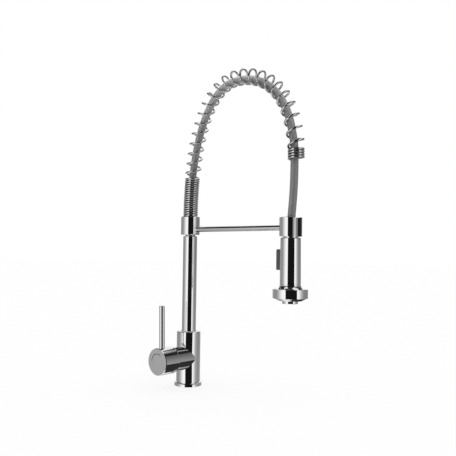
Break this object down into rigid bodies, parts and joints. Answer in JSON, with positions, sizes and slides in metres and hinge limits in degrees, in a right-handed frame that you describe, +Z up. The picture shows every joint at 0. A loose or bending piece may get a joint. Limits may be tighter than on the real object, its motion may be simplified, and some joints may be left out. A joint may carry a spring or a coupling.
{
  "type": "pre rinse faucet",
  "caption": "Chrome single-lever kitchen faucet with a spring-supported hose arch, a dock arm and a pull-down spray head.",
  "frame": {"origin": "centre of the underside of the base, on the counter's surface", "axes": "+Z up along the column, +X along the dock arm towards the spray head, the lever hub points along -Y"},
  "size_m": [0.2746, 0.1039, 0.5514],
  "materials": {
    "chrome": "polished chrome plate",
    "spring_chrome": "polished spring wire",
    "steel": "plain steel",
    "brass": "machined brass",
    "ceramic": "lapped ceramic",
    "white_plastic": "satin acetal",
    "dark_plastic": "satin moulded",
    "grey_plastic": "fine matte",
    "rubber": "matte rubber",
    "grey_rubber": "soft silicone",
    "braid": "grey braided sleeve over rubber",
    "red_mark": "enamel fill",
    "blue_mark": "enamel fill"
  },
  "bodies": {
    "base": {"base_flange": "chrome", "base_gasket": "rubber", "valve_body": "chrome", "cartridge_housing": "white_plastic", "cartridge_seals": "rubber", "fixed_disc": "ceramic", "cartridge_nut": "brass", "dome_cap": "chrome", "glide_ring": "white_plastic", "column_screw": "steel"},
    "carrier": {"cartridge_carrier": "white_plastic", "pivot_pin": "steel"},
    "mixing_disc": {"control_disc": "ceramic"},
    "handle": {"spindle": "steel", "handle_hub": "chrome", "lever_rod": "chrome", "hub_set_screw": "steel", "hot_mark": "red_mark", "cold_mark": "blue_mark"},
    "spout": {"column_tube": "chrome", "column_orings": "rubber", "outlet_nipple": "steel", "collar": "chrome", "collar_set_screw": "steel", "support_spring": "spring_chrome", "supply_hose": "braid", "hose_ferrule_top": "steel", "dock_arm": "chrome", "dock_ring": "chrome", "dock_liner": "dark_plastic", "dock_screw": "steel"},
    "hose_end": {"hose_nut": "chrome", "hose_ferrule_bottom": "steel", "hose_washer": "rubber", "swivel_oring": "rubber", "swivel_clip": "steel"},
    "spray_head": {"head_shell": "chrome", "head_core": "white_plastic", "check_valve": "white_plastic", "filter_screen": "steel", "bell": "chrome", "spray_face": "dark_plastic", "spray_nozzles": "grey_rubber", "aerator": "chrome"},
    "button": {"spray_button": "grey_plastic", "diverter_stem": "white_plastic"}
  },
  "joints": [
    {"name": "spout_swivel", "type": "hinge", "parent": "base", "child": "spout", "pos_m": [0, 0, 0.09], "axis": [0, 0, 1], "continuous": true},
    {"name": "handle_temp", "type": "hinge", "parent": "base", "child": "carrier", "pos_m": [0, -0.03, 0.0494], "axis": [0, 1, 0], "range_deg": [-45, 45]},
    {"name": "handle_flow", "type": "hinge", "parent": "carrier", "child": "handle", "pos_m": [0, -0.03, 0.0494], "axis": [1, 0, 0], "range_deg": [0, 20]},
    {"name": "disc_slide", "type": "slide", "parent": "carrier", "child": "mixing_disc", "axis": [0, 0, 1], "range_m": [0, 0.0029]},
    {"name": "head_pull", "type": "slide", "parent": "spout", "child": "hose_end", "axis": [0, 0, -1], "range_m": [0, 0.08], "stiffness_N_per_m": 60, "springref_m": -0.15},
    {"name": "head_swivel", "type": "hinge", "parent": "hose_end", "child": "spray_head", "pos_m": [0.222, 0, 0.25], "axis": [0, 0, 1], "continuous": true},
    {"name": "button_press", "type": "slide", "parent": "spray_head", "child": "button", "axis": [1, 0, 0], "range_m": [0, 0.003], "stiffness_N_per_m": 600, "springref_m": -0.003}
  ],
  "couplings": [
    {"joint": "disc_slide", "follows": "handle_flow", "m_per_rad": 0.00815}
  ]
}
